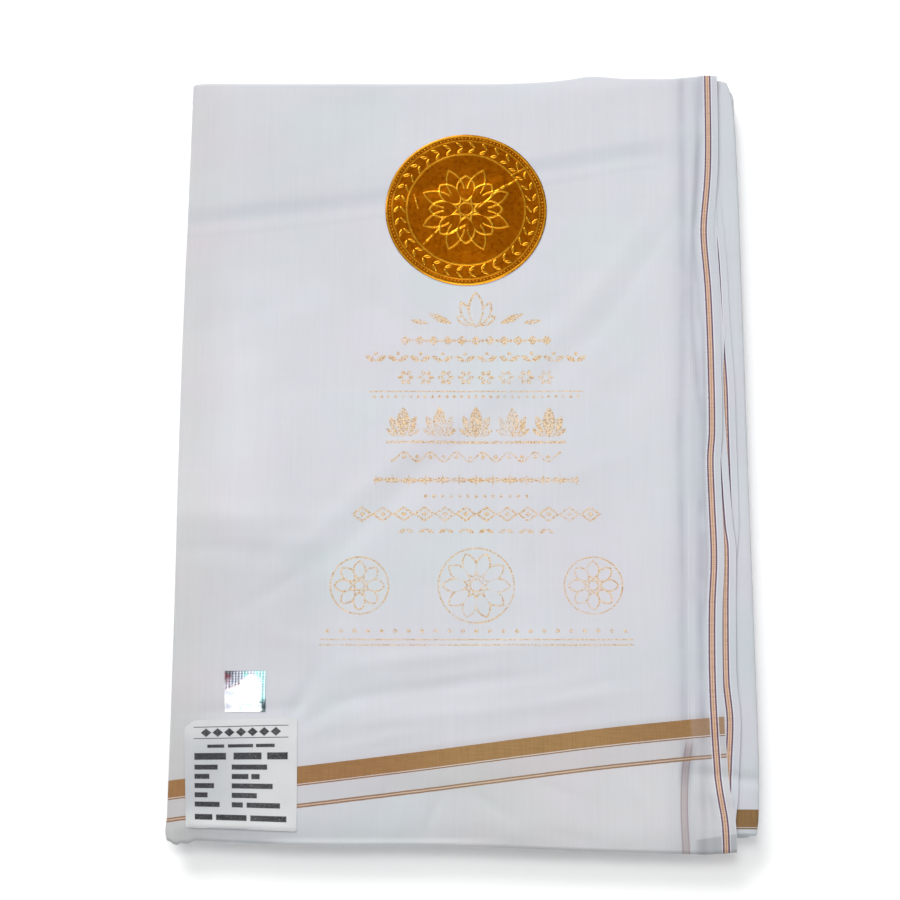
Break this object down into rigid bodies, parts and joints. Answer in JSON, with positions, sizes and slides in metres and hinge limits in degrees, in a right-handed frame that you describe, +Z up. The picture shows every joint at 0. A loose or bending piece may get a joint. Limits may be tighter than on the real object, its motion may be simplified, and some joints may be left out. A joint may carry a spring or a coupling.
{
  "type": "folded dhoti cloth",
  "caption": "White cotton dhoti cloth with narrow woven borders, folded flat into an oblong pile that lies on a surface, with a round foil seal and paper stickers.",
  "frame": {"origin": "middle of the underside of the pile's box", "axes": "+Z up, +Y along the folded length, away from the end band, +X across the folded width, towards the selvedges"},
  "size_m": [0.3276, 0.464, 0.0186],
  "materials": {
    "cotton": "fine plain weave, matt, slightly sheer",
    "gold_foil": "embossed metallic foil",
    "silver_film": "diffracting film",
    "label_paper": "coated paper"
  },
  "bodies": {
    "root": {"top_ply": "cotton", "second_ply": "cotton", "third_ply": "cotton", "lower_fold": "cotton", "hidden_folds": "cotton", "foil_seal": "gold_foil", "hologram_square": "silver_film", "paper_label": "label_paper"}
  },
  "joints": []
}
